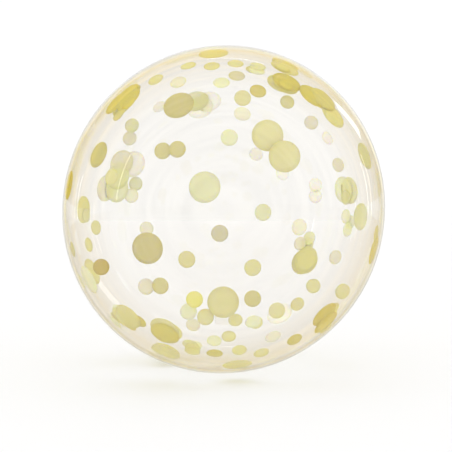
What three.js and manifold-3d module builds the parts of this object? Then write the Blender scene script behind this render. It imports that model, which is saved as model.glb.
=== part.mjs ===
// Clear bubble balloon, inflated and lying on a floor. Millimetres, +Z up, the front faces -Y.
// It is one envelope of thin film: a round body, a shoulder where the film is gathered, a throat,
// and a flat tail that is pressed together and welded shut. The sealed body is modelled solid.
// The origin is the middle of the small flat spot that the balloon rests on.
import * as THREE from "three";
import { mergeVertices } from "three/addons/utils/BufferGeometryUtils.js";
import Module from "manifold-3d";

// Body: a round form, a little longer one way than across, with the long way leaning to the right.
const bodyWidth = 560;
const bodyLength = 573;
const bodyLeanDegrees = 22;

// Flat spot under the body, measured from front to back.
const restSpotWidth = 80;

// Neck: it leaves the back of the body, pointing this far below level.
const neckDropDegrees = 40;

// Shoulder: a flare from the body's film to the throat, sunk a little into the body at its rim.
const shoulderWidth = 72;
const shoulderHeight = 17;
const shoulderOverlap = 1;

// Throat: a round, pleated stretch that flattens towards the tail.
const throatWidth = 24;
const throatLength = 16;
const pleatCount = 12;
const pleatDepth = 1.6;

// Tail: a flat tab with round corners. The throat's end stays inside its edges, runs some way into
// it, and stands a little proud of its two faces.
const tailLength = 62;
const tailWidth = 34;
const tailThickness = 2.4;
const tailCornerRadius = 7;
const throatEndInset = 2.5;
const throatEndOverlap = 6;
const throatEndProud = 0.5;

// Facets of each form.
const bodyFacetDetail = 14;
const pointsPerPleat = 4;
const shoulderRings = 8;
const throatRings = 6;
const cornerSegments = 6;

const wasm = await Module();
wasm.setup();

// The solid that a closed geometry bounds.
function solidOf(geometry) {
  const bare = geometry.clone();
  bare.deleteAttribute("normal");
  bare.deleteAttribute("uv");
  const merged = mergeVertices(bare);
  return new wasm.Manifold(
    new wasm.Mesh({
      numProp: 3,
      vertProperties: new Float32Array(merged.getAttribute("position").array),
      triVerts: new Uint32Array(merged.index.array),
    }),
  );
}

// The geometry of a solid, with flat facets.
function geometryOf(solid) {
  const mesh = solid.getMesh();
  const geometry = new THREE.BufferGeometry();
  geometry.setAttribute("position", new THREE.BufferAttribute(mesh.vertProperties, 3));
  geometry.setIndex(new THREE.BufferAttribute(mesh.triVerts, 1));
  const faceted = geometry.toNonIndexed();
  faceted.computeVertexNormals();
  return faceted;
}

// A closed geometry through rings of points, all with as many points, capped at both ends.
function loft(rings) {
  const around = rings[0].length;
  const middleOf = (ring) =>
    ring.reduce((sum, point) => sum.add(point), new THREE.Vector3()).divideScalar(around);
  const points = [...rings.flat(), middleOf(rings[0]), middleOf(rings.at(-1))];
  const firstMiddle = points.length - 2;
  const lastMiddle = points.length - 1;
  const lastRing = (rings.length - 1) * around;
  const faces = [];
  for (let i = 0; i < around; i++) {
    const next = (i + 1) % around;
    for (let ring = 0; ring < lastRing; ring += around) {
      faces.push(ring + i, ring + next, ring + around + next);
      faces.push(ring + i, ring + around + next, ring + around + i);
    }
    faces.push(firstMiddle, next, i);
    faces.push(lastMiddle, lastRing + i, lastRing + next);
  }
  const geometry = new THREE.BufferGeometry().setFromPoints(points);
  geometry.setIndex(faces);
  return geometry;
}

// Body: half its width and length, its lean, and its middle. The middle is as high as it must be for
// the floor to cut a flat spot of the width asked for, and stands so that the spot's own middle is
// at the origin.
const across = bodyWidth / 2;
const along = bodyLength / 2;
const lean = THREE.MathUtils.degToRad(bodyLeanDegrees);
const longAxis = new THREE.Vector3(Math.sin(lean), 0, Math.cos(lean));
const stretch = along ** 2 - across ** 2;
const reachBelow = Math.sqrt(across ** 2 + stretch * longAxis.z ** 2);
const middleHeight = reachBelow * Math.sqrt(1 - (restSpotWidth / bodyWidth) ** 2);
const middleShift = (middleHeight * stretch * longAxis.x * longAxis.z) / reachBelow ** 2;
const middle = new THREE.Vector3(middleShift, 0, middleHeight);

function bodySolid() {
  const round = new THREE.IcosahedronGeometry(1, bodyFacetDetail);
  round.scale(across, across, along);
  round.rotateY(lean);
  round.translate(middle.x, middle.y, middle.z);
  return solidOf(round);
}

// Everything below the floor, which cuts the flat spot.
function floorSolid() {
  const block = new THREE.BoxGeometry(bodyLength * 2, bodyLength * 2, bodyLength);
  block.translate(0, 0, -bodyLength / 2);
  return solidOf(block);
}

// One ring of the neck: an oval with pleats, the first pleat on the right.
function neckRing(height, halfWidth, halfThickness, pleat) {
  return Array.from({ length: pleatCount * pointsPerPleat }, (_, i) => {
    const angle = (2 * Math.PI * i) / (pleatCount * pointsPerPleat);
    const wave = pleat * Math.cos(pleatCount * angle);
    const x = (halfWidth + wave) * Math.cos(angle);
    const y = (halfThickness + wave) * Math.sin(angle);
    return new THREE.Vector3(x, y, height);
  });
}

// The gathered shoulder and the throat. They rise along +Z from the body's surface at height 0,
// which curves away below the shoulder's rim.
function neckSolid() {
  const throat = throatWidth / 2;
  const shoulder = shoulderWidth / 2;
  const rimDrop = across - Math.sqrt(across ** 2 - shoulder ** 2) + shoulderOverlap;
  const rings = [];
  for (let i = 0; i <= shoulderRings; i++) {
    const share = i / shoulderRings;
    const height = THREE.MathUtils.lerp(-rimDrop, shoulderHeight, share);
    const radius = throat + (shoulder - throat) * (1 - share) ** 3;
    rings.push(neckRing(height, radius, radius, pleatDepth * share));
  }
  for (let i = 1; i <= throatRings; i++) {
    const share = i / throatRings;
    const eased = THREE.MathUtils.smoothstep(share, 0, 1);
    const height = shoulderHeight + (throatLength + throatEndOverlap) * share;
    const halfWidth = THREE.MathUtils.lerp(throat, tailWidth / 2 - throatEndInset, eased);
    const halfThickness = THREE.MathUtils.lerp(throat, tailThickness / 2 + throatEndProud, eased);
    rings.push(neckRing(height, halfWidth, halfThickness, pleatDepth * (1 - eased)));
  }
  return solidOf(loft(rings));
}

// The flat tail, along +Z from the end of the throat, with its two faces across Y.
function tailSolid() {
  const half = tailWidth / 2;
  const r = tailCornerRadius;
  const outline = new THREE.Shape();
  outline.moveTo(-half + r, 0);
  outline.absarc(half - r, r, r, -Math.PI / 2, 0);
  outline.absarc(half - r, tailLength - r, r, 0, Math.PI / 2);
  outline.absarc(-half + r, tailLength - r, r, Math.PI / 2, Math.PI);
  outline.absarc(-half + r, r, r, Math.PI, 1.5 * Math.PI);
  const plate = new THREE.ExtrudeGeometry(outline, {
    depth: tailThickness,
    bevelEnabled: false,
    curveSegments: cornerSegments,
  });
  plate.translate(0, 0, -tailThickness / 2);
  plate.rotateX(Math.PI / 2);
  plate.translate(0, 0, shoulderHeight + throatLength);
  return solidOf(plate);
}

// Turns the neck's +Z to point backwards and down, and sets it on the body's surface.
function neckPlacement() {
  const drop = THREE.MathUtils.degToRad(neckDropDegrees);
  const outwards = new THREE.Vector3(0, Math.cos(drop), -Math.sin(drop));
  const share = outwards.dot(longAxis);
  const reach = 1 / Math.sqrt((1 - share ** 2) / across ** 2 + share ** 2 / along ** 2);
  const root = middle.clone().addScaledVector(outwards, reach);
  return new THREE.Matrix4().makeRotationX(-Math.PI / 2 - drop).setPosition(root);
}

function envelopeSolid() {
  const placement = Array.from(neckPlacement().elements);
  const neck = neckSolid().add(tailSolid()).transform(placement);
  return bodySolid().add(neck).subtract(floorSolid());
}

const clearFilm = new THREE.MeshStandardMaterial({
  color: 0xf3ece0,
  roughness: 0.08,
  metalness: 0,
  transparent: true,
  opacity: 0.35,
});

const envelope = new THREE.Mesh(geometryOf(envelopeSolid()), clearFilm);
envelope.name = "envelope";

const balloon = new THREE.Group();
balloon.add(envelope);

export default balloon;
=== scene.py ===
"""Clear bubble balloon with gold confetti inside, lying on a pale studio floor."""

import logging
import math
import random
from dataclasses import dataclass
from enum import Enum

import bpy
from mathutils import Matrix, Quaternion, Vector


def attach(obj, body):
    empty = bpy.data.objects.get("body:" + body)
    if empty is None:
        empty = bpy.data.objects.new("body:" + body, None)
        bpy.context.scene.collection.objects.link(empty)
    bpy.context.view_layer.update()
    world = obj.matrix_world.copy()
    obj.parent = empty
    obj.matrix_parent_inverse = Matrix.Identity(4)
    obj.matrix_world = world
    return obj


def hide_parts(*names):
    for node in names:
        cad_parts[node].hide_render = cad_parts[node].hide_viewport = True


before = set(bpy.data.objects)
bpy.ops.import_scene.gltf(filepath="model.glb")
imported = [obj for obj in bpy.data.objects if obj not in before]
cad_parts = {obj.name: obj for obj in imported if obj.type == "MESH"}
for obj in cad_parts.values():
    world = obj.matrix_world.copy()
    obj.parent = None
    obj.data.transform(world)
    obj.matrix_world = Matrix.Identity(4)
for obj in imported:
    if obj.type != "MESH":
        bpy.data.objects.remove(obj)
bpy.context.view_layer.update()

log = logging.getLogger("bubble_balloon")

MM = 0.001
RIGHT = Vector((1, 0, 0))
UP = Vector((0, 0, 1))

# The sRGB curve has a straight foot up to a knee, and is a power above it.
SRGB_FOOT = 12.92
SRGB_KNEE = 0.04045
SRGB_OFFSET = 0.055
SRGB_POWER = 2.4

Colour = tuple[float, float, float, float]
Ring = list[Vector]
Face = tuple[int, ...]


def linear(hex_colour: str) -> Colour:
    """Turns an sRGB colour into the linear one that a shader takes.

    Args:
        hex_colour: The colour, as "#RRGGBB".

    Returns:
        Red, green and blue in linear light, and an alpha of 1.
    """
    channels = [int(hex_colour[i : i + 2], 16) / 255 for i in (1, 3, 5)]
    bent = (
        c / SRGB_FOOT if c <= SRGB_KNEE else ((c + SRGB_OFFSET) / (1 + SRGB_OFFSET)) ** SRGB_POWER
        for c in channels
    )
    return (*bent, 1.0)


def shaded(colour: Colour, shares: tuple[float, float, float]) -> Colour:
    """Scales a colour's red, green and blue, each held to 1 at most."""
    return (*(min(1.0, c * share) for c, share in zip(colour, shares)), 1.0)


def add_node(
    tree: bpy.types.NodeTree,
    kind: str,
    inputs: dict[str | int, object] | None = None,
    settings: dict[str, object] | None = None,
) -> bpy.types.Node:
    """Adds a node to a tree, with its settings and links.

    Args:
        tree: The node tree that gets the node.
        kind: The node's type name.
        inputs: Values or output sockets for the node's inputs, by name or number.
        settings: Attributes of the node, by name.

    Returns:
        The new node.
    """
    node = tree.nodes.new(kind)
    for name, value in (settings or {}).items():
        setattr(node, name, value)
    for name, value in (inputs or {}).items():
        if isinstance(value, bpy.types.NodeSocket):
            tree.links.new(value, node.inputs[name])
        else:
            node.inputs[name].default_value = value
    return node


def add_noise(tree: bpy.types.NodeTree, spacing_mm: float, detail: float) -> bpy.types.NodeSocket:
    """Adds a noise pattern that is fixed to the piece, at a real scale.

    Args:
        tree: The material's tree.
        spacing_mm: How far apart the pattern's crests lie.
        detail: How many finer patterns lie over it.

    Returns:
        The pattern's socket.
    """
    place = add_node(tree, "ShaderNodeTexCoord").outputs["Object"]
    pattern = {"Vector": place, "Scale": 1 / (spacing_mm * MM), "Detail": detail}
    return add_node(tree, "ShaderNodeTexNoise", pattern).outputs["Fac"]


def new_material(name: str) -> tuple[bpy.types.Material, bpy.types.NodeTree]:
    """Makes a material with an empty node tree.

    Args:
        name: The material's name.

    Returns:
        The material and its tree.
    """
    material = bpy.data.materials.new(name)
    material.use_nodes = True
    material.node_tree.nodes.clear()
    return material, material.node_tree


def close_tree(tree: bpy.types.NodeTree, shader: bpy.types.Node) -> None:
    """Links a shader to a new material output."""
    add_node(tree, "ShaderNodeOutputMaterial", {"Surface": shader.outputs[0]})


def link_to_scene(name: str, data: bpy.types.ID) -> bpy.types.Object:
    """Makes an object of a mesh, lamp or camera and links it to the scene.

    Args:
        name: The object's name.
        data: What it shows.

    Returns:
        The object.
    """
    made = bpy.data.objects.new(name, data)
    bpy.context.scene.collection.objects.link(made)
    return made


def new_piece(name: str, points: list[Vector], faces: list[Face]) -> bpy.types.Object:
    """Makes a smooth mesh object.

    Args:
        name: The piece's name.
        points: Its vertices, in metres, in the frame of the model.
        faces: Its faces, as vertex numbers.

    Returns:
        The object.
    """
    mesh = bpy.data.meshes.new(name)
    mesh.from_pydata(points, [], faces)
    mesh.shade_smooth()
    return link_to_scene(name, mesh)


def ease(share: float) -> float:
    """Goes smoothly from 0 to 1 as share does, and stays there beyond."""
    held = min(max(share, 0.0), 1.0)
    return held * held * (3 - 2 * held)


def mixed(low: float, high: float, share: float) -> float:
    """Lies at that share of the way from low to high."""
    return low + (high - low) * share


@dataclass(frozen=True)
class BodyForm:
    """The round body: a form a little longer than wide, which leans and lies on a flat spot.

    Attributes:
        width: Across the long axis.
        length: Along the long axis.
        lean_deg: How far the long axis leans to the right.
        rest_spot: Width of the flat spot under the body.
        neck_drop_deg: How far below level the neck points, at the back.
        rounding: How softly the film turns into the flat spot.
    """

    width: float = 0.560
    length: float = 0.573
    lean_deg: float = 22.0
    rest_spot: float = 0.080
    neck_drop_deg: float = 40.0
    rounding: float = 0.0012

    @property
    def long_axis(self) -> Vector:
        """Which way the long axis points."""
        lean = math.radians(self.lean_deg)
        return Vector((math.sin(lean), 0, math.cos(lean)))

    @property
    def neck_way(self) -> Vector:
        """Which way the neck points."""
        drop = math.radians(self.neck_drop_deg)
        return Vector((0, math.cos(drop), -math.sin(drop)))

    @property
    def middle(self) -> Vector:
        """Finds the body's middle, above the middle of the flat spot.

        Returns:
            The middle. It is as high as it must be for the flat spot to have its width.
        """
        across, along = self.width / 2, self.length / 2
        stretch = along**2 - across**2
        axis = self.long_axis
        below = math.sqrt(across**2 + stretch * axis.z**2)
        height = below * math.sqrt(1 - (self.rest_spot / self.width) ** 2)
        return Vector((height * stretch * axis.x * axis.z / below**2, 0, height))

    def reach(self, way: Vector) -> float:
        """Measures from the middle to the surface, as if there were no flat spot.

        Args:
            way: Direction from the middle, of length 1.

        Returns:
            The distance.
        """
        share = way.dot(self.long_axis)
        across, along = self.width / 2, self.length / 2
        return 1 / math.sqrt((1 - share**2) / across**2 + share**2 / along**2)

    def on_film(self, way: Vector, inset: float = 0.0) -> Vector:
        """Finds a point on the film, or inside it.

        Args:
            way: Direction from the middle, of length 1.
            inset: How far inside the film's outer face the point lies.

        Returns:
            The point, which is never lower than the floor and the inset.
        """
        point = self.middle + way * (self.reach(way) - inset)
        above = point.z - inset
        point.z = inset + (above + math.hypot(above, self.rounding)) / 2
        return point

    def kept_inside(self, point: Vector, inset: float) -> Vector:
        """Moves a point inwards if it lies outside the film, or too near it.

        Args:
            point: The point.
            inset: How far inside the film's outer face it has to stay.

        Returns:
            The point, or the last one inside on the line from the middle to it.
        """
        offset = point - self.middle
        limit = self.on_film(offset.normalized(), inset)
        return point if offset.length < (limit - self.middle).length else limit

    def outward(self, way: Vector) -> Vector:
        """Finds the film's outward direction, as if there were no flat spot.

        Args:
            way: Direction from the middle to the place on the film, of length 1.

        Returns:
            The outward direction there, of length 1.
        """
        along = way.dot(self.long_axis) * self.long_axis
        return (way - along + along * (self.width / self.length) ** 2).normalized()

    def crossing(self, start: Vector, way: Vector, far: bool) -> Vector | None:
        """Finds where a line of sight crosses the film.

        Args:
            start: Where the line starts, outside the body.
            way: Its direction.
            far: True for the wall behind, False for the wall in front.

        Returns:
            The direction from the middle to that point, of length 1, or None past the outline.
        """
        shrink = self.width / self.length - 1
        axis = self.long_axis
        begin = start - self.middle
        begin = begin + axis * begin.dot(axis) * shrink
        line = way + axis * way.dot(axis) * shrink
        half = begin.dot(line) / line.dot(line)
        rest = (begin.dot(begin) - (self.width / 2) ** 2) / line.dot(line)
        inside = half * half - rest
        if inside < 0:
            return None
        step = -half + (math.sqrt(inside) if far else -math.sqrt(inside))
        return (start + way * step - self.middle).normalized()


@dataclass(frozen=True)
class Relief:
    """A shallow, uneven relief on a finish.

    Attributes:
        spacing_mm: How far apart its crests lie.
        height_mm: Their height.
        detail: How many finer reliefs lie over it.
        strength: How much of the height shows.
    """

    spacing_mm: float
    height_mm: float
    detail: float
    strength: float = 1.0

    def build(self, tree: bpy.types.NodeTree) -> bpy.types.NodeSocket:
        """Makes the relief.

        Args:
            tree: The material's tree.

        Returns:
            The socket of the bent normal.
        """
        height = {
            "Height": add_noise(tree, self.spacing_mm, self.detail),
            "Distance": self.height_mm * MM,
            "Strength": self.strength,
        }
        return add_node(tree, "ShaderNodeBump", height).outputs["Normal"]


@dataclass(frozen=True)
class StretchedFilm:
    """Thermoplastic polyurethane film, blown taut: glass-clear, glossy and very faintly warm.

    It gives the eye a nearly invisible wall with mirror-like lines of light near the outline. The
    thickness of stretched film varies, which bends those lines a little.
    """

    tint: str = "#FCFBF9"
    roughness: float = 0.0
    ior: float = 1.5
    ripple: Relief = Relief(spacing_mm=70.0, height_mm=0.05, detail=1.0)

    def build(self) -> bpy.types.Material:
        """Makes the film's material.

        Returns:
            The material.
        """
        material, tree = new_material("stretched_film")
        look = {
            "Base Color": linear(self.tint),
            "Roughness": self.roughness,
            "IOR": self.ior,
            "Transmission Weight": 1.0,
            "Normal": self.ripple.build(tree),
        }
        close_tree(tree, add_node(tree, "ShaderNodeBsdfPrincipled", look))
        return material


class Tone(Enum):
    """The colours that the tissue discs are given. The palest, IVORY, CREAM and PALE, go mostly to
    discs on the back wall; there they are partly dye and partly painted haze, the veil of light that
    the front film lays over those discs.
    """

    BROWN = "#CEBD5E"
    KHAKI = "#D4CB86"
    STRAW = "#D6CB77"
    GOLD = "#DCD590"
    OLIVE = "#E2DD9C"
    PALE = "#E6E5B2"
    GREY = "#D8D2A2"
    LEMON = "#E4DE7D"
    CREAM = "#E9E5BE"
    IVORY = "#F5F2DA"


@dataclass(frozen=True)
class TissuePaper:
    """Dyed tissue paper, punched into discs: matt, a little crinkled, and it lets light through.

    The eye sees an even colour with faint fibres, deeper where one disc lies on another.

    Attributes:
        tone: The dye.
        roughness: How matt it is.
        ior: The paper's index of refraction.
        gloss: How strongly it mirrors, where a smooth face has 0.5.
        fibre_mm: Spacing of the fibres, drawn coarser than true so that they show.
        fibre_detail: How many finer fibres lie over them.
        fibre_share: How much the fibres deepen the colour.
        crinkle: The paper's shallow crinkles.
        glow_mm: How far light spreads in the paper.
        glow_shares: The same for red, green and blue. Blue spreads most, so a disc over another
            is yellower.
        deep: The deepest colour, as shares of the dye's red, green and blue.
        light: The lightest colour, likewise.
    """

    tone: Tone
    roughness: float = 0.8
    ior: float = 1.45
    gloss: float = 0.2
    fibre_mm: float = 1.6
    fibre_detail: float = 3.0
    fibre_share: float = 0.35
    crinkle: Relief = Relief(spacing_mm=5.0, height_mm=0.3, detail=2.0, strength=0.5)
    glow_mm: float = 1.0
    glow_shares: tuple[float, float, float] = (0.15, 0.18, 0.6)
    deep: tuple[float, float, float] = (0.9, 0.87, 0.75)
    light: tuple[float, float, float] = (1.04, 1.04, 1.04)

    def dye(self, tree: bpy.types.NodeTree) -> bpy.types.NodeSocket:
        """Makes the paper's colour, which differs from disc to disc and along the fibres.

        Args:
            tree: The material's tree.

        Returns:
            The colour's socket.
        """
        fibres = add_noise(tree, self.fibre_mm, self.fibre_detail)
        shade = add_node(tree, "ShaderNodeAttribute", None, {"attribute_name": "shade"})
        parts = {0: fibres, 1: self.fibre_share, 2: shade.outputs["Fac"]}
        depth = add_node(tree, "ShaderNodeMath", parts, {"operation": "MULTIPLY_ADD"})
        full = linear(self.tone.value)
        ends = {"Factor": depth.outputs[0], "A": shaded(full, self.light), "B": shaded(full, self.deep)}
        return add_node(tree, "ShaderNodeMix", ends, {"data_type": "RGBA"}).outputs["Result"]

    def build(self) -> bpy.types.Material:
        """Makes the paper's material.

        Returns:
            The material.
        """
        material, tree = new_material(f"tissue_{self.tone.name.lower()}")
        look = {
            "Base Color": self.dye(tree),
            "Roughness": self.roughness,
            "IOR": self.ior,
            "Specular IOR Level": self.gloss,
            "Subsurface Weight": 1.0,
            "Subsurface Radius": self.glow_shares,
            "Subsurface Scale": self.glow_mm * MM,
            "Normal": self.crinkle.build(tree),
        }
        close_tree(tree, add_node(tree, "ShaderNodeBsdfPrincipled", look))
        return material


@dataclass(frozen=True)
class MattFloorPaint:
    """Matt white floor paint, rolled on: even and pale, with slow shallow waves from the roller."""

    colour: str = "#F0F0F1"
    roughness: float = 0.9
    waves: Relief = Relief(spacing_mm=66.0, height_mm=0.2, detail=2.0)

    def build(self) -> bpy.types.Material:
        """Makes the paint's material.

        Returns:
            The material.
        """
        material, tree = new_material("matt_floor_paint")
        look = {
            "Base Color": linear(self.colour),
            "Roughness": self.roughness,
            "Normal": self.waves.build(tree),
        }
        close_tree(tree, add_node(tree, "ShaderNodeBsdfPrincipled", look))
        return material


@dataclass(frozen=True)
class LitAcrylic:
    """White acrylic sheet, lit from behind: one even glow from edge to edge."""

    colour: str = "#FFFFFF"
    white: float = 1.03

    def build(self) -> bpy.types.Material:
        """Makes the sheet's material.

        Returns:
            The material.
        """
        material, tree = new_material("lit_acrylic")
        glow = {"Color": linear(self.colour), "Strength": self.white}
        close_tree(tree, add_node(tree, "ShaderNodeEmission", glow))
        return material


@dataclass
class FilmEnvelope:
    """The balloon's film: body, gathered shoulder, pleated throat and flat welded tail, in one piece.

    It has a true outer and inner face. The inner face ends where the throat is welded shut.

    Attributes:
        form: The round body.
        finish: The film's material.
        film: The film's thickness, thicker than true so that both faces stay apart.
        shoulder_width: Width of the gathered shoulder at its rim.
        shoulder_height: From the body's surface to the throat.
        flare: How steeply the shoulder widens towards its rim, as a power.
        throat_width: Width of the round throat.
        throat_length: From the shoulder to the tail.
        pleat_depth: Depth of the throat's pleats, either way from the middle.
        pleats: How many there are.
        fine_pleats: How many fine pleats lie over them.
        fine_pleat_depth: Depth of the fine pleats.
        crease_reach_deg: How far the creases run out from the shoulder's rim over the body.
        crease_depth: Their depth at the rim.
        crease_fade: How quickly they fade from there, as a power.
        fine_crease_share: Depth of the fine creases beside the main ones.
        tail_length: From the throat's end to the tail's end.
        tail_width: Its width.
        tail_thickness: Its thickness where it begins.
        tail_corner: Radius of its corners.
        tail_inset: How far inside the tail's side edges the throat ends.
        tail_thinning: The tail's thickness past the weld, beside that at its beginning.
        opening_share: Where along the tail its full width is reached.
        edge_sharpness: How quickly the tail's faces rise from its thin side edges.
        end_thinning: How much the last ring is thinned, from 0 to 1.
        weld_share: How far along the tail the weld's ribs run.
        weld_ribs: How many ribs there are.
        weld_rib_height: Their height.
        around: Points round each ring.
        body_rings: Rings from the front of the body to the shoulder.
        shoulder_rings: Rings of the shoulder.
        throat_rings: Rings of the throat.
        tail_rings: Rings of the tail's straight part.
        end_rings: Rings of its rounded end.
    """

    form: BodyForm
    finish: StretchedFilm = StretchedFilm()
    film: float = 0.0003
    shoulder_width: float = 0.072
    shoulder_height: float = 0.017
    flare: int = 3
    throat_width: float = 0.024
    throat_length: float = 0.016
    pleat_depth: float = 0.0016
    pleats: int = 12
    fine_pleats: int = 36
    fine_pleat_depth: float = 0.0004
    crease_reach_deg: float = 16.0
    crease_depth: float = 0.0007
    crease_fade: int = 2
    fine_crease_share: float = 0.4
    tail_length: float = 0.062
    tail_width: float = 0.034
    tail_thickness: float = 0.0016
    tail_corner: float = 0.007
    tail_inset: float = 0.0015
    tail_thinning: float = 0.7
    opening_share: float = 0.125
    edge_sharpness: float = 4.0
    end_thinning: float = 0.9
    weld_share: float = 0.333
    weld_ribs: int = 9
    weld_rib_height: float = 0.00025
    around: int = 216
    body_rings: int = 116
    shoulder_rings: int = 14
    throat_rings: int = 12
    tail_rings: int = 60
    end_rings: int = 8

    def neck_place(self) -> Matrix:
        """Finds the neck's own frame.

        Returns:
            The frame. Its origin is on the body's surface, and its +Z points outwards.
        """
        way = self.form.neck_way
        place = Matrix((RIGHT, way.cross(RIGHT), way)).transposed().to_4x4()
        place.translation = self.form.middle + way * self.form.reach(way)
        return place

    def angles(self) -> list[float]:
        """Lists the angle of each point round a ring."""
        return [2 * math.pi * i / self.around for i in range(self.around)]

    def body_ring(self, polar: float, rim: float, inset: float) -> Ring:
        """Makes a ring of the body round the neck's axis, creased where it nears the neck.

        Args:
            polar: The ring's angle from the neck's axis.
            rim: The angle of the shoulder's rim.
            inset: How far inside the film's outer face it lies.

        Returns:
            The ring's points.
        """
        turned = self.neck_place().to_quaternion()
        near = 1 - ease((polar - rim) / math.radians(self.crease_reach_deg))
        ring = []
        for angle in self.angles():
            wave = 1 - math.cos(self.pleats * angle)
            wave += self.fine_crease_share * (1 - math.cos(self.fine_pleats * angle))
            crease = self.crease_depth * near**self.crease_fade * wave / 2
            level = math.sin(polar)
            way = Vector((level * math.cos(angle), level * math.sin(angle), math.cos(polar)))
            way.rotate(turned)
            ring.append(self.form.on_film(way, inset + crease))
        return ring

    def neck_ring(self, height: float, half_width: float, half_thick: float, pleat: float) -> Ring:
        """Makes a pleated oval ring of the neck.

        Args:
            height: How far out from the body's surface it lies.
            half_width: Half its width.
            half_thick: Half its thickness.
            pleat: Depth of the pleats, as a share of their full depth.

        Returns:
            The ring's points.
        """
        place = self.neck_place()
        ring = []
        for angle in self.angles():
            wave = self.pleat_depth * math.cos(self.pleats * angle)
            wave -= self.fine_pleat_depth * (1 + math.cos(self.fine_pleats * angle))
            x = (half_width + wave * pleat) * math.cos(angle)
            y = (half_thick + wave * pleat) * math.sin(angle)
            ring.append(place @ Vector((x, y, height)))
        return ring

    def tail_ring(self, height: float, half_width: float, half_thick: float, sharpness: float) -> Ring:
        """Makes a flat ring of the tail, with thin side edges.

        Args:
            height: How far out from the body's surface it lies.
            half_width: Half its width.
            half_thick: Half its thickness.
            sharpness: How quickly the faces rise from the side edges to their full height.

        Returns:
            The ring's points.
        """
        place = self.neck_place()
        ring = []
        for angle in self.angles():
            rise = max(-1.0, min(1.0, math.sin(angle) * sharpness))
            ring.append(place @ Vector((half_width * math.cos(angle), half_thick * rise, height)))
        return ring

    def wall(self, inset: float) -> list[Ring]:
        """Makes the rings of one face of the film, from the front pole to the end of the throat.

        Args:
            inset: How far inside the film's outer face it lies.

        Returns:
            The rings.
        """
        shoulder = self.shoulder_width / 2
        throat = self.throat_width / 2
        reach = self.form.reach(self.form.neck_way)
        rim = math.asin(shoulder / reach)
        rings = []
        for i in range(self.body_rings, -1, -1):
            polar = mixed(rim, math.pi, i / (self.body_rings + 1))
            rings.append(self.body_ring(polar, rim, inset))
        rim_drop = reach * (1 - math.cos(rim))
        for i in range(1, self.shoulder_rings + 1):
            share = i / self.shoulder_rings
            height = mixed(-rim_drop, self.shoulder_height, share)
            radius = mixed(throat, shoulder, (1 - share) ** self.flare) - inset
            rings.append(self.neck_ring(height, radius, radius, share))
        for i in range(1, self.throat_rings + 1):
            share = i / self.throat_rings
            eased = ease(share)
            height = self.shoulder_height + self.throat_length * share
            half_width = mixed(throat, self.tail_width / 2 - self.tail_inset, eased) - inset
            half_thick = mixed(throat, self.tail_thickness / 2, eased) - inset
            rings.append(self.neck_ring(height, half_width, half_thick, 1 - eased))
        return rings

    def tail(self) -> list[Ring]:
        """Makes the rings of the tail, ribbed by the weld where it begins and round at its corners.

        Returns:
            The rings.
        """
        start = self.shoulder_height + self.throat_length
        straight = self.tail_length - self.tail_corner
        half = self.tail_width / 2
        half_thick = self.tail_thickness / 2
        rings = []
        for i in range(1, self.tail_rings + 1):
            share = i / self.tail_rings
            opened = ease(share / self.opening_share)
            welded = share / self.weld_share
            rib = max(0.0, math.sin(2 * math.pi * self.weld_ribs * welded)) if welded < 1 else 0.0
            thinned = half_thick * mixed(1.0, self.tail_thinning, ease(welded))
            thick = thinned + rib * self.weld_rib_height
            width = mixed(half - self.tail_inset, half, opened)
            sharpness = mixed(1.0, self.edge_sharpness, opened)
            rings.append(self.tail_ring(start + straight * share, width, thick, sharpness))
        for i in range(1, self.end_rings + 1):
            share = i / self.end_rings
            turn = math.pi / 2 * share
            width = half - self.tail_corner * (1 - math.cos(turn))
            thick = half_thick * self.tail_thinning * math.sqrt(1 - share**2 * self.end_thinning)
            height = start + straight + self.tail_corner * math.sin(turn)
            rings.append(self.tail_ring(height, width, thick, self.edge_sharpness))
        return rings

    def skin(self, rings: list[Ring], first: int, outwards: bool) -> tuple[list[Vector], list[Face]]:
        """Joins rings into a closed skin, with a point in the middle of each end.

        Args:
            rings: The rings, from the front pole to the neck.
            first: The number of the skin's first vertex in the mesh.
            outwards: True if the skin faces outwards.

        Returns:
            Its points and faces.
        """
        points = [point for ring in rings for point in ring]
        ends = [sum(ring, Vector()) / self.around for ring in (rings[0], rings[-1])]
        faces: list[Face] = []
        last = (len(rings) - 1) * self.around
        for i in range(self.around):
            after = (i + 1) % self.around
            for ring in range(0, last, self.around):
                higher = ring + self.around
                faces.append((ring + i, ring + after, higher + after, higher + i))
            faces.append((len(points), after, i))
            faces.append((len(points) + 1, last + i, last + after))
        if not outwards:
            faces = [tuple(reversed(face)) for face in faces]
        return points + ends, [tuple(first + corner for corner in face) for face in faces]

    def build(self) -> bpy.types.Object:
        """Builds the film's mesh and gives it its finish.

        Returns:
            The film's object.
        """
        points, faces = self.skin(self.wall(0.0) + self.tail(), 0, True)
        inner_points, inner_faces = self.skin(self.wall(self.film), len(points), False)
        piece = new_piece("film_envelope", points + inner_points, faces + inner_faces)
        piece.data.materials.append(self.finish.build())
        # Film this thin casts no shadow, and the studio's light reaches the discs unbent.
        piece.visible_shadow = False
        piece.visible_diffuse = False
        return piece


class Punch(Enum):
    """The two punches that the discs are cut with, by their radius in metres."""

    SMALL = 0.0136
    LARGE = 0.0254


class Wall(Enum):
    """The side of the balloon that a disc clings to, as seen from the front."""

    FRONT = "front"
    BACK = "back"


@dataclass(frozen=True)
class Disc:
    """One disc, by where it shows from the front.

    Attributes:
        right: How far right of the body's middle it shows, in metres.
        up: How far above the body's middle it shows, in metres.
        wall: The wall it clings to.
        punch: Its size.
        tone: Its colour.
        turned: How far it leans off the film to face the front, from 0 to 1.
    """

    right: float
    up: float
    wall: Wall
    punch: Punch
    tone: Tone
    turned: float = 0.0


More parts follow.
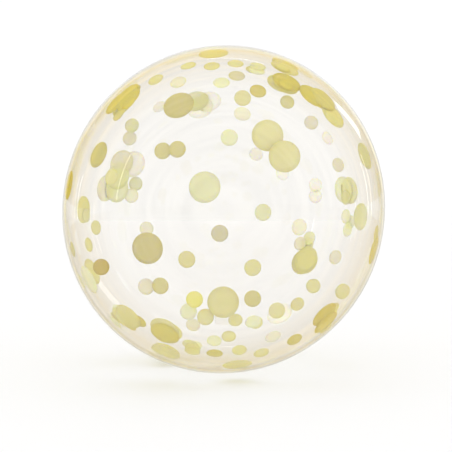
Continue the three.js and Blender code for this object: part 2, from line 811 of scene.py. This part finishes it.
@dataclass(frozen=True)
class Cluster:
    """Discs that lie over each other, by where their midst shows from the front.

    Attributes:
        right: How far right of the body's middle the midst shows, in metres.
        up: How far above the body's middle the midst shows, in metres.
        walls: The walls that the discs cling to, in turn.
        large: How many are large.
        small: How many are small.
        spread: How far from the midst they lie, sideways and upwards, in metres.
        tones: Their colours, in turn.
    """

    right: float
    up: float
    walls: tuple[Wall, ...]
    large: int
    small: int
    spread: tuple[float, float]
    tones: tuple[Tone, ...]


@dataclass
class StudioCamera:
    """The camera: level with the balloon but for a few degrees, nine body radii away.

    Attributes:
        form: The body that it looks at.
        distance: From the camera to the plane through the body's middle.
        elevation_deg: How far above level it stands.
        picture_px: Width and height of the photograph.
        body_x_px: Where the body's middle is in the photograph, from the left.
        body_y_px: Where the body's middle is in the photograph, from the top.
        half_width_px: Half the body's width in the photograph.
        sensor_mm: Width of the camera's sensor.
        farthest: How far it sees.
    """

    form: BodyForm
    distance: float = 2.52
    elevation_deg: float = 4.0
    picture_px: float = 452.0
    body_x_px: float = 223.7
    body_y_px: float = 209.6
    half_width_px: float = 161.1
    sensor_mm: float = 36.0
    farthest: float = 100.0

    @property
    def back(self) -> Vector:
        """The direction from the balloon to the camera."""
        rise = math.radians(self.elevation_deg)
        return Vector((0, -math.cos(rise), math.sin(rise)))

    @property
    def upward(self) -> Vector:
        """The picture's upward direction."""
        rise = math.radians(self.elevation_deg)
        return Vector((0, math.sin(rise), math.cos(rise)))

    @property
    def pixel(self) -> float:
        """Works out how large a pixel is in the plane through the body's middle.

        Returns:
            Metres to a pixel.
        """
        radius = self.form.width / 2
        outline = radius / math.sqrt(1 - (radius / self.distance) ** 2)
        return outline / self.half_width_px

    @property
    def place(self) -> Vector:
        """Works out where the camera stands.

        Returns:
            The place from which the body's middle shows where it is in the photograph.
        """
        half = self.picture_px / 2
        sideways = RIGHT * (half - self.body_x_px) * self.pixel
        downwards = self.upward * (self.body_y_px - half) * self.pixel
        return self.form.middle + sideways + downwards + self.back * self.distance

    def sight(self, right: float, up: float) -> Vector:
        """Gives the direction in which the camera sees a place beside the body's middle."""
        seen = self.form.middle + RIGHT * right + self.upward * up
        return (seen - self.place).normalized()

    def build(self) -> bpy.types.Object:
        """Makes the camera and sets it as the scene's.

        Returns:
            The camera's object.
        """
        data = bpy.data.cameras.new("studio_camera")
        data.sensor_width = self.sensor_mm
        data.lens = self.sensor_mm * self.distance / (self.picture_px * self.pixel)
        data.clip_end = self.farthest
        camera = link_to_scene("studio_camera", data)
        camera.location = self.place
        camera.rotation_euler = self.back.to_track_quat("Z", "Y").to_euler()
        bpy.context.scene.camera = camera
        return camera


# Short names for the rows below.
F, B = Wall.FRONT, Wall.BACK
S, L = Punch.SMALL, Punch.LARGE

# The discs that lie singly or in loose pairs. Those on the back wall mostly get the pale tones, which
# are partly painted haze from the front film.
SINGLES = (
    Disc(-0.080, 0.185, F, L, Tone.KHAKI, 0.1),
    Disc(-0.109, 0.105, F, S, Tone.GOLD, 0.5),
    Disc(-0.083, 0.108, F, S, Tone.GOLD, 0.5),
    Disc(0.010, 0.129, F, S, Tone.PALE, 0.5),
    Disc(0.081, 0.137, F, L, Tone.OLIVE, 0.8),
    Disc(0.111, 0.097, F, L, Tone.OLIVE, 0.8),
    Disc(0.057, 0.098, B, S, Tone.IVORY),
    Disc(0.104, 0.064, B, S, Tone.IVORY),
    Disc(-0.034, 0.040, F, L, Tone.PALE),
    Disc(0.070, -0.005, F, S, Tone.PALE),
    Disc(-0.007, -0.042, F, S, Tone.GREY),
    Disc(-0.138, -0.070, F, L, Tone.KHAKI, 0.5),
    Disc(-0.138, -0.034, B, S, Tone.CREAM, 0.5),
    Disc(-0.066, -0.089, F, S, Tone.GOLD, 0.4),
    Disc(0.052, -0.104, F, S, Tone.OLIVE, 0.4),
    Disc(-0.224, -0.105, F, S, Tone.BROWN, 0.9),
    Disc(-0.114, -0.137, F, S, Tone.GOLD, 0.6),
    Disc(-0.140, -0.139, F, S, Tone.CREAM, 0.6),
    Disc(-0.053, -0.163, F, S, Tone.LEMON, 0.8),
    Disc(-0.001, -0.173, F, L, Tone.OLIVE, 0.9),
    Disc(0.052, -0.160, F, S, Tone.GOLD, 0.7),
    Disc(0.096, -0.182, F, S, Tone.OLIVE, 0.6),
    Disc(0.132, -0.169, B, S, Tone.OLIVE, 0.3),
    Disc(0.163, -0.139, B, S, Tone.OLIVE, 0.7),
    Disc(0.218, -0.150, F, S, Tone.OLIVE, 0.6),
    Disc(0.199, -0.085, B, S, Tone.CREAM, 0.3),
    Disc(0.034, 0.201, F, S, Tone.OLIVE, 0.6),
    Disc(0.061, 0.211, F, S, Tone.STRAW, 0.15),
    Disc(0.033, 0.170, F, S, Tone.CREAM),
    Disc(-0.063, 0.256, F, S, Tone.OLIVE),
    Disc(-0.021, 0.253, F, S, Tone.OLIVE),
    Disc(0.021, 0.258, F, S, Tone.OLIVE),
    Disc(-0.121, 0.231, F, S, Tone.OLIVE, 0.1),
    Disc(-0.081, 0.227, F, S, Tone.CREAM, 0.1),
    Disc(-0.004, 0.226, F, S, Tone.PALE),
    Disc(0.023, 0.236, F, S, Tone.GREY),
    Disc(0.114, 0.193, B, S, Tone.OLIVE, 0.4),
    Disc(-0.166, 0.152, B, S, Tone.PALE, 0.5),
    Disc(-0.170, 0.129, B, S, Tone.CREAM, 0.5),
    Disc(-0.114, 0.183, B, S, Tone.IVORY),
    Disc(-0.221, 0.097, B, L, Tone.GOLD),
    Disc(-0.274, 0.043, F, L, Tone.BROWN),
    Disc(-0.249, 0.000, B, L, Tone.OLIVE),
    Disc(-0.244, -0.010, B, S, Tone.PALE),
    Disc(-0.228, -0.032, B, S, Tone.OLIVE, 0.1),
    Disc(-0.238, -0.062, B, S, Tone.OLIVE),
    Disc(-0.267, -0.070, F, S, Tone.KHAKI),
    Disc(0.158, 0.157, B, S, Tone.CREAM, 0.5),
    Disc(0.184, 0.127, B, S, Tone.IVORY),
    Disc(0.205, 0.080, B, S, Tone.CREAM, 0.2),
    Disc(0.163, 0.044, B, S, Tone.IVORY, 0.3),
    Disc(0.163, 0.024, B, S, Tone.IVORY, 0.3),
    Disc(0.134, -0.031, F, S, Tone.CREAM),
    Disc(0.127, -0.233, F, S, Tone.STRAW, 0.2),
    Disc(0.088, -0.227, F, S, Tone.CREAM, 0.1),
    Disc(0.009, -0.225, B, S, Tone.OLIVE, 0.2),
    Disc(0.067, -0.254, F, S, Tone.OLIVE, 0.1),
    Disc(0.028, -0.251, B, S, Tone.OLIVE, 0.2),
    Disc(-0.016, -0.255, F, S, Tone.STRAW),
    Disc(-0.017, -0.235, B, S, Tone.PALE, 0.2),
    Disc(0.249, 0.095, B, L, Tone.PALE),
    Disc(-0.162, 0.081, B, L, Tone.IVORY, 0.2),
    Disc(-0.183, 0.083, B, L, Tone.CREAM, 0.2),
    Disc(-0.190, 0.060, B, L, Tone.PALE, 0.2),
    Disc(-0.192, 0.037, B, L, Tone.PALE, 0.2),
    Disc(-0.208, 0.038, B, L, Tone.CREAM),
    Disc(-0.157, 0.046, B, S, Tone.PALE, 0.4),
    Disc(-0.166, 0.025, B, S, Tone.CREAM, 0.6),
    Disc(-0.200, 0.058, F, S, Tone.OLIVE, 0.1),
    Disc(-0.050, 0.193, B, L, Tone.PALE),
    Disc(-0.028, 0.191, B, L, Tone.IVORY),
    Disc(-0.042, 0.180, B, L, Tone.IVORY),
    Disc(0.270, -0.042, F, S, Tone.STRAW),
    Disc(0.267, -0.072, F, L, Tone.BROWN),
    Disc(0.021, -0.198, B, S, Tone.OLIVE, 0.3),
    Disc(0.057, -0.201, B, S, Tone.OLIVE, 0.3),
    Disc(0.052, -0.198, F, S, Tone.PALE),
    Disc(-0.033, -0.195, F, S, Tone.OLIVE, 0.8),
    Disc(-0.064, -0.185, F, S, Tone.PALE, 0.7),
    Disc(-0.055, -0.207, B, S, Tone.CREAM, 0.3),
    Disc(0.099, -0.184, B, L, Tone.IVORY),
)

# The heaps, most of them near the outline, where both walls show over each other.
CLUSTERS = (
    Cluster(-0.018, 0.276, (F, B), 2, 2, (0.013, 0.004), (Tone.GOLD, Tone.OLIVE)),
    Cluster(0.059, 0.247, (B, F), 0, 4, (0.008, 0.012), (Tone.OLIVE, Tone.PALE)),
    Cluster(0.109, 0.252, (F, B), 2, 2, (0.011, 0.006), (Tone.GOLD, Tone.OLIVE)),
    Cluster(0.110, 0.221, (B, F), 3, 1, (0.014, 0.007), (Tone.OLIVE, Tone.STRAW)),
    Cluster(0.154, 0.202, (F, B), 1, 2, (0.006, 0.004), (Tone.STRAW, Tone.OLIVE)),
    Cluster(0.176, 0.190, (B, F), 2, 2, (0.007, 0.009), (Tone.OLIVE, Tone.GOLD)),
    Cluster(0.190, 0.168, (F, B), 1, 2, (0.005, 0.009), (Tone.OLIVE, Tone.PALE)),
    Cluster(-0.170, 0.196, (F, B), 3, 2, (0.006, 0.014), (Tone.STRAW, Tone.GOLD)),
    Cluster(-0.186, 0.182, (B, F), 2, 1, (0.010, 0.014), (Tone.OLIVE, Tone.STRAW)),
    Cluster(-0.238, -0.124, (F, B), 2, 2, (0.014, 0.018), (Tone.PALE, Tone.OLIVE)),
    Cluster(-0.180, -0.193, (B, F), 3, 5, (0.018, 0.011), (Tone.OLIVE, Tone.GOLD, Tone.PALE)),
    Cluster(-0.160, -0.200, (F, B), 0, 3, (0.012, 0.007), (Tone.STRAW, Tone.GOLD)),
    Cluster(-0.104, -0.219, (F, B), 3, 4, (0.018, 0.010), (Tone.STRAW, Tone.OLIVE, Tone.GOLD)),
    Cluster(-0.103, -0.252, (F, B), 2, 3, (0.016, 0.005), (Tone.OLIVE, Tone.GOLD)),
    Cluster(-0.055, -0.244, (F, B), 0, 5, (0.012, 0.010), (Tone.OLIVE, Tone.PALE)),
    Cluster(0.024, -0.275, (F, B), 1, 3, (0.016, 0.004), (Tone.OLIVE, Tone.GOLD)),
    Cluster(0.181, -0.200, (F, B), 3, 4, (0.012, 0.018), (Tone.BROWN, Tone.STRAW)),
    Cluster(0.147, -0.092, (B,), 3, 1, (0.007, 0.008), (Tone.GOLD, Tone.OLIVE)),
    Cluster(0.148, -0.060, (B,), 0, 4, (0.014, 0.011), (Tone.CREAM, Tone.PALE)),
    Cluster(0.217, 0.030, (B,), 2, 1, (0.006, 0.010), (Tone.PALE,)),
    Cluster(0.241, -0.010, (B,), 1, 2, (0.004, 0.010), (Tone.PALE,)),
    Cluster(0.220, -0.018, (B,), 0, 3, (0.005, 0.018), (Tone.PALE, Tone.CREAM)),
)


@dataclass
class Confetti:
    """The tissue discs that cling to the inside of the film, one piece for each colour.

    Attributes:
        form: The body that they lie in.
        camera: The camera from which their places are given.
        singles: The discs that lie singly.
        clusters: The heaps of discs.
        paper: Thickness of the paper, thicker than true so that both faces stay apart.
        clearance: From the film's outer face to the nearest disc.
        layer: From one layer of discs to the next, where they lie over each other.
        layers: How many layers there are.
        curl: How far a disc's edge lifts off the film.
        steps: Points round a disc.
        bands: Rings of faces from its middle to its edge.
        swing: How unevenly a heap's discs lie round its midst, as a share of their spacing.
        nearest: How near the midst the outer discs may lie, as a share of the spread.
        midst_step: In a heap, one disc in so many lies in the midst.
        smallest_heap: The fewest discs in a heap that has any in its midst.
        darkest: The most that a disc's own shade deepens its colour.
        seed: What the chances start from.
    """

    form: BodyForm
    camera: StudioCamera
    singles: tuple[Disc, ...] = SINGLES
    clusters: tuple[Cluster, ...] = CLUSTERS
    paper: float = 0.00015
    clearance: float = 0.0012
    layer: float = 0.0006
    layers: int = 5
    curl: float = 0.0008
    steps: int = 36
    bands: int = 3
    swing: float = 0.3
    nearest: float = 0.5
    midst_step: int = 3
    smallest_heap: int = 4
    darkest: float = 0.6
    seed: int = 7

    def heaped(self, cluster: Cluster, chance: random.Random) -> list[Disc]:
        """Lists the discs of a heap, the outer ones spread round its midst.

        Args:
            cluster: The heap.
            chance: The source of its unevenness.

        Returns:
            Its discs.
        """
        count = cluster.large + cluster.small
        discs = []
        for i in range(count):
            turn = 2 * math.pi * (i + chance.uniform(-self.swing, self.swing)) / count
            far = chance.uniform(self.nearest, 1.0)
            if i % self.midst_step == 0 and count >= self.smallest_heap:
                far = 0.0
            right = cluster.right + cluster.spread[0] * far * math.cos(turn)
            up = cluster.up + cluster.spread[1] * far * math.sin(turn)
            wall = cluster.walls[i % len(cluster.walls)]
            punch = Punch.LARGE if i < cluster.large else Punch.SMALL
            tone = cluster.tones[i % len(cluster.tones)]
            discs.append(Disc(right, up, wall, punch, tone))
        return discs

    def face_point(
        self, disc: Disc, way: Vector, x: float, y: float, depth: float, under: float
    ) -> Vector:
        """Finds a point on one face of a disc.

        Args:
            disc: The disc.
            way: The direction from the body's middle to the disc's.
            x: Across the disc, from its middle.
            y: Up the disc, from its middle.
            depth: How far inside the film's outer face the disc's own outer face lies.
            under: How far the point lies inside the disc's outer face.

        Returns:
            The point.
        """
        radius = disc.punch.value
        sag = under + self.curl * (x * x + y * y) / radius**2
        out = self.form.outward(way)
        side = UP.cross(out).normalized()
        flat = side * x + out.cross(side) * y
        if disc.turned == 0:
            spot = way * self.form.reach(way) + flat
            return self.form.on_film(spot.normalized(), depth + sag)
        facing = self.camera.back * (-1 if disc.wall is Wall.BACK else 1)
        lean = Quaternion().slerp(out.rotation_difference(facing), disc.turned)
        sunk = radius * out.cross(lean @ out).length
        middle = self.form.on_film(way, depth + sunk)
        return self.form.kept_inside(middle + lean @ (flat - out * sag), depth + under)

    def disc_points(self, disc: Disc, way: Vector, layer: int) -> list[Vector]:
        """Lists a disc's points, first those of the face on the film, then those of the other.

        Args:
            disc: The disc.
            way: The direction from the body's middle to the disc's.
            layer: The layer that it lies in, counted from the film.

        Returns:
            The points of each face, from its middle outwards.
        """
        depth = self.clearance + self.layer * layer
        points = []
        for under in (0.0, self.paper):
            points.append(self.face_point(disc, way, 0, 0, depth, under))
            for band in range(1, self.bands + 1):
                radius = disc.punch.value * band / self.bands
                for i in range(self.steps):
                    turn = 2 * math.pi * i / self.steps
                    x, y = radius * math.cos(turn), radius * math.sin(turn)
                    points.append(self.face_point(disc, way, x, y, depth, under))
        return points

    def disc_faces(self, first: int) -> list[Face]:
        """Lists the faces of one disc.

        Args:
            first: The number of the disc's first point in the mesh.

        Returns:
            The faces, as point numbers.
        """
        per_face = 1 + self.bands * self.steps
        edge = first + per_face - self.steps
        faces: list[Face] = []
        for i in range(self.steps):
            after = (i + 1) % self.steps
            for face, flip in ((first, False), (first + per_face, True)):
                made = [(face, face + 1 + i, face + 1 + after)]
                for band in range(self.bands - 1):
                    low = face + 1 + band * self.steps
                    high = low + self.steps
                    made.append((low + i, high + i, high + after, low + after))
                faces.extend(tuple(reversed(corners)) if flip else corners for corners in made)
            faces.append((edge + i, edge + per_face + i, edge + per_face + after, edge + after))
        return faces

    def build(self) -> list[bpy.types.Object]:
        """Builds one piece for each colour and gives it its finish.

        Returns:
            The pieces.
        """
        chance = random.Random(self.seed)
        discs = list(self.singles)
        for cluster in self.clusters:
            discs.extend(self.heaped(cluster, chance))
        pieces = []
        for tone in Tone:
            points: list[Vector] = []
            faces: list[Face] = []
            shades: list[float] = []
            for order, disc in enumerate(discs):
                sight = self.camera.sight(disc.right, disc.up)
                way = self.form.crossing(self.camera.place, sight, disc.wall is Wall.BACK)
                if disc.tone is not tone or way is None:
                    continue
                made = self.disc_points(disc, way, order % self.layers)
                faces.extend(self.disc_faces(len(points)))
                points.extend(made)
                shades.extend([chance.uniform(0.0, self.darkest)] * len(made))
            piece = new_piece(f"confetti_{tone.name.lower()}", points, faces)
            shade = piece.data.attributes.new("shade", "FLOAT", "POINT")
            shade.data.foreach_set("value", shades)
            piece.data.materials.append(TissuePaper(tone).build())
            pieces.append(piece)
        return pieces


@dataclass(frozen=True)
class Lamp:
    """One rectangular lamp of the studio.

    Attributes:
        name: Its name.
        azimuth_deg: Its direction from the balloon, from straight behind round to the right.
        distance: How far from the balloon it stands.
        height: How high its middle is.
        size: Its width and height.
        light: How bright its face is, beside white paper as 1.
    """

    name: str
    azimuth_deg: float
    distance: float
    height: float
    size: tuple[float, float]
    light: float


LAMPS = (
    Lamp("softbox_right", 42.0, 3.4, 1.75, (0.42, 0.8), 1.35),
    Lamp("tube_right_inner", 63.5, 3.0, 0.55, (0.03, 1.0), 2.6),
    Lamp("tube_right_outer", 58.5, 3.0, 0.60, (0.025, 1.1), 2.4),
    Lamp("tube_left_inner", -61.0, 3.0, 0.45, (0.03, 0.8), 2.4),
    Lamp("tube_left_outer", -56.5, 3.0, 0.40, (0.025, 0.7), 2.0),
    Lamp("tube_overhead", 6.0, 1.75, 2.69, (1.0, 0.03), 2.4),
    Lamp("window_left", -104.0, 2.5, 1.10, (0.05, 1.1), 2.2),
)


@dataclass
class Studio:
    """A pale floor, a lit white panel far behind, a warm room, an even ceiling and a few lamps.

    Attributes:
        lamps: The lamps that the film mirrors.
        paint: The floor's finish.
        acrylic: The panel's finish.
        floor_size: Width and depth of the floor.
        floor_gap: How far below the balloon's rest spot the floor lies.
        panel_distance: How far behind the balloon the panel stands.
        panel_width: Its width, little more than the picture takes in.
        panel_height: Its height.
        room_tones: The room's colours, from the sides at 0 to straight behind the balloon at 1.
        fold_spacing: How finely the room's curtains are folded, sideways, in depth and upwards.
        fold_scale: The same, in all three directions at once.
        fold_detail: How many finer folds lie over them.
        fold_range: The part of the folds' pattern that runs from full shade to crest.
        fold_light: How bright the folds are in their shade and on their crests.
        ceiling_light: How much light falls on the floor from the ceiling.
        aim_height: How high the lamps aim.
    """

    lamps: tuple[Lamp, ...] = LAMPS
    paint: MattFloorPaint = MattFloorPaint()
    acrylic: LitAcrylic = LitAcrylic()
    floor_size: float = 60.0
    floor_gap: float = 0.0002
    panel_distance: float = 4.0
    panel_width: float = 2.4
    panel_height: float = 1.5
    room_tones: tuple[tuple[float, str], ...] = (
        (0.0, "#E8E6DE"),
        (0.25, "#CBB67C"),
        (0.55, "#C3A43A"),
        (0.85, "#D2B75A"),
        (0.94, "#F6F2E4"),
        (1.0, "#FBF9F3"),
    )
    fold_spacing: tuple[float, float, float] = (1.0, 14.0, 1.0)
    fold_scale: float = 1.0
    fold_detail: float = 1.0
    fold_range: tuple[float, float] = (0.3, 0.7)
    fold_light: tuple[float, float] = (0.6, 1.4)
    ceiling_light: float = 3.62
    aim_height: float = 0.28

    def build_floor(self) -> bpy.types.Object:
        """Makes the floor, which shows through the film but isn't mirrored in it.

        Returns:
            The floor's object.
        """
        half = self.floor_size / 2
        around = ((-half, -half), (half, -half), (half, half), (-half, half))
        corners = [Vector((x, y, -self.floor_gap)) for x, y in around]
        floor = new_piece("studio_floor", corners, [(0, 1, 2, 3)])
        floor.data.materials.append(self.paint.build())
        floor.visible_glossy = False
        return floor

    def build_panel(self) -> bpy.types.Object:
        """Makes the lit panel behind the balloon, which is seen but lights nothing.

        Returns:
            The panel's object.
        """
        half = self.panel_width / 2
        around = ((-half, 0), (half, 0), (half, self.panel_height), (-half, self.panel_height))
        corners = [Vector((x, self.panel_distance, z)) for x, z in around]
        panel = new_piece("lit_panel", corners, [(0, 1, 2, 3)])
        panel.data.materials.append(self.acrylic.build())
        panel.visible_diffuse = False
        panel.visible_shadow = False
        return panel

    def build_room(self) -> None:
        """Sets the warm room with its folded curtains, which the film mirrors.

        It lights nothing matt. It is pale in front of the balloon and at its sides, golden brown
        towards the back, and nearly white straight behind.
        """
        world = bpy.data.worlds.new("warm_room")
        world.use_nodes = True
        world.cycles_visibility.diffuse = False
        tree = world.node_tree
        tree.nodes.clear()
        way = add_node(tree, "ShaderNodeTexCoord").outputs["Generated"]
        parts = add_node(tree, "ShaderNodeSeparateXYZ", {"Vector": way})
        ramp = add_node(tree, "ShaderNodeValToRGB", {"Fac": parts.outputs["Y"]})
        stops = ramp.color_ramp.elements
        for share, _ in self.room_tones[1:-1]:
            stops.new(share)
        for stop, (_, tone) in zip(stops, self.room_tones):
            stop.color = linear(tone)
        stretch = {0: way, 1: self.fold_spacing}
        folded = add_node(tree, "ShaderNodeVectorMath", stretch, {"operation": "MULTIPLY"})
        pattern = {"Vector": folded.outputs[0], "Scale": self.fold_scale, "Detail": self.fold_detail}
        folds = add_node(tree, "ShaderNodeTexNoise", pattern)
        swing = {
            "Value": folds.outputs["Fac"],
            "From Min": self.fold_range[0],
            "From Max": self.fold_range[1],
            "To Min": self.fold_light[0],
            "To Max": self.fold_light[1],
        }
        glow = add_node(tree, "ShaderNodeMapRange", swing)
        walls = {"Color": ramp.outputs["Color"], "Strength": glow.outputs["Result"]}
        light = add_node(tree, "ShaderNodeBackground", walls)
        add_node(tree, "ShaderNodeOutputWorld", {"Surface": light.outputs[0]})
        bpy.context.scene.world = world

    def build_ceiling(self) -> bpy.types.Object:
        """Makes the even light that a wide white ceiling gives, from all of the upper half.

        Returns:
            The light's object.
        """
        data = bpy.data.lights.new("ceiling_light", "SUN")
        data.angle = math.pi
        data.energy = self.ceiling_light
        ceiling = link_to_scene("ceiling_light", data)
        ceiling.visible_glossy = False
        ceiling.visible_transmission = False
        return ceiling

    def hang(self, lamp: Lamp) -> bpy.types.Object:
        """Makes a lamp that the film mirrors, upright and facing the balloon.

        Args:
            lamp: The lamp.

        Returns:
            Its object.
        """
        width, height = lamp.size
        data = bpy.data.lights.new(lamp.name, "AREA")
        data.shape = "RECTANGLE"
        data.size = width
        data.size_y = height
        # A lamp's power is its face's brightness times its area and pi.
        data.energy = lamp.light * math.pi * width * height
        bearing = math.radians(lamp.azimuth_deg)
        place = Vector((math.sin(bearing), math.cos(bearing), 0)) * lamp.distance + UP * lamp.height
        hung = link_to_scene(lamp.name, data)
        hung.location = place
        hung.rotation_euler = (UP * self.aim_height - place).to_track_quat("-Z", "Y").to_euler()
        hung.visible_diffuse = False
        return hung

    def build(self) -> list[bpy.types.Object]:
        """Makes the room, the ceiling, the lamps, the floor and the panel.

        Returns:
            The pieces that stand round the balloon.
        """
        self.build_room()
        self.build_ceiling()
        for lamp in self.lamps:
            self.hang(lamp)
        return [self.build_floor(), self.build_panel()]


def main() -> None:
    """Builds the studio, the film and the confetti, and ties each piece to the frame."""
    logging.basicConfig(level=logging.INFO, format="%(name)s: %(message)s")
    bpy.context.scene.view_settings.view_transform = "Standard"

    form = BodyForm()
    camera = StudioCamera(form)
    camera.build()
    for stage in Studio().build():
        log.info("stage %s", stage.name)

    film = FilmEnvelope(form).build()
    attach(film, "root")
    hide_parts("envelope")
    log.info("piece %s: %d faces", film.name, len(film.data.polygons))

    for piece in Confetti(form, camera).build():
        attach(piece, "root")
        log.info("piece %s: %d faces", piece.name, len(piece.data.polygons))


if __name__ == "__main__":
    main()
